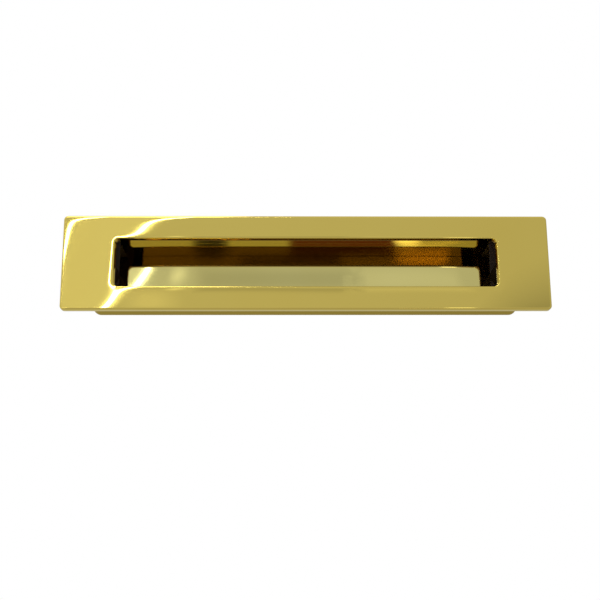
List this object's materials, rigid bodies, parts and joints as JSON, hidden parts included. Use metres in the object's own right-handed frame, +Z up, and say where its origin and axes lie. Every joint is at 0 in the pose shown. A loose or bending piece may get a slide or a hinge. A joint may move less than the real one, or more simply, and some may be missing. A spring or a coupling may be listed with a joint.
{
  "type": "recessed cabinet handle",
  "caption": "Rectangular flush pull for a cabinet door or drawer front, with a polished frame round a long finger opening and an undercut box behind it.",
  "frame": {"origin": "middle of the frame's back face, in the plane that lies on the door", "axes": "+X along the handle, +Y into the door with the polished face at -Y, +Z up on an upright cabinet front"},
  "size_m": [0.1536, 0.018, 0.0308],
  "materials": {
    "frame_brass": "mirror polished, gold tone",
    "box_brass": "polished inside, satin outside, paler gold tone"
  },
  "bodies": {
    "root": {"front_frame": "frame_brass", "rear_box": "box_brass"}
  },
  "joints": []
}
